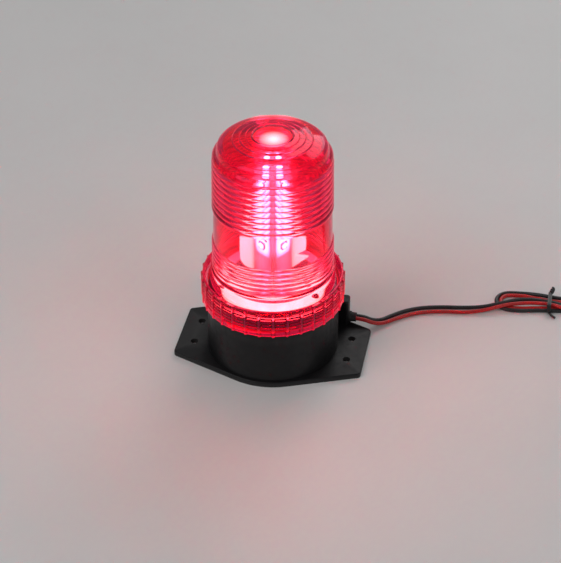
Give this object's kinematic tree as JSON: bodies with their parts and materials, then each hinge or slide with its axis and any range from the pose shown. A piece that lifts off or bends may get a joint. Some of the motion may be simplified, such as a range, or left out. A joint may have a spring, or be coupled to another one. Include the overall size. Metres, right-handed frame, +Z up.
{
  "type": "led safety flare",
  "caption": "LED strobe beacon: flanged base with two screw ears, ribbed red screw-on lens over a lit four-sided LED column, two-core flying lead folded in a tied hank.",
  "frame": {"origin": "middle of the base's underside, on the lens axis", "axes": "+Z up along the lens axis, +X along the two screw ears towards the side where the lead leaves, +Y to the back, where the cable boss is"},
  "size_m": [0.258, 0.1201, 0.1473],
  "materials": {
    "base_black": "black ABS, fine moulded texture",
    "lens_red": "clear red polycarbonate, ribbed",
    "seal_rubber": "black rubber",
    "plate_white": "white reflector, satin",
    "core_white": "white moulded holder",
    "board_white": "white solder mask",
    "led_red": "LED package, lit",
    "board_green": "green solder mask",
    "screw_steel": "zinc plated",
    "component_black": "moulded epoxy",
    "can_aluminium": "drawn can",
    "winding": "enamelled copper on ferrite",
    "lead_red_pvc": "red PVC insulation",
    "lead_black_pvc": "black PVC insulation",
    "tie_black": "plastic coated wire",
    "tinned_copper": "tinned strands"
  },
  "bodies": {
    "base": {"base_housing": "base_black", "bottom_cover": "base_black", "cover_gasket": "seal_rubber", "cover_screws": "screw_steel", "reflector_plate": "plate_white", "plate_screws": "screw_steel", "column_core": "core_white", "column_screws": "screw_steel", "top_board": "board_white", "top_leds": "led_red", "column_leads": "lead_red_pvc", "driver_board": "board_green", "board_screws": "screw_steel", "capacitor": "can_aluminium", "inductor": "winding", "driver_chip": "component_black", "power_switch": "component_black", "rectifier_diodes": "component_black", "resistors": "component_black", "cable_grommet": "seal_rubber", "input_leads": "lead_black_pvc", "lead_black": "lead_black_pvc", "lead_red": "lead_red_pvc", "lead_hank": "lead_black_pvc", "wire_tie": "tie_black", "lead_ends": "tinned_copper", "led_board_1": "board_white", "side_leds_1": "led_red", "led_board_2": "board_white", "side_leds_2": "led_red", "led_board_3": "board_white", "side_leds_3": "led_red", "led_board_4": "board_white", "side_leds_4": "led_red"},
    "seal_ring": {"lens_seal": "seal_rubber"},
    "lens": {"lens": "lens_red"}
  },
  "joints": [
    {"name": "lens_turn", "type": "hinge", "parent": "base", "child": "seal_ring", "pos_m": [0, 0, 0.0474], "axis": [0, 0, 1], "range_deg": [0, 150]},
    {"name": "lens_rise", "type": "slide", "parent": "seal_ring", "child": "lens", "axis": [0, 0, 1], "range_m": [0, 0.00505]}
  ],
  "couplings": [
    {"joint": "lens_rise", "follows": "lens_turn", "m_per_rad": 0.0019099}
  ]
}
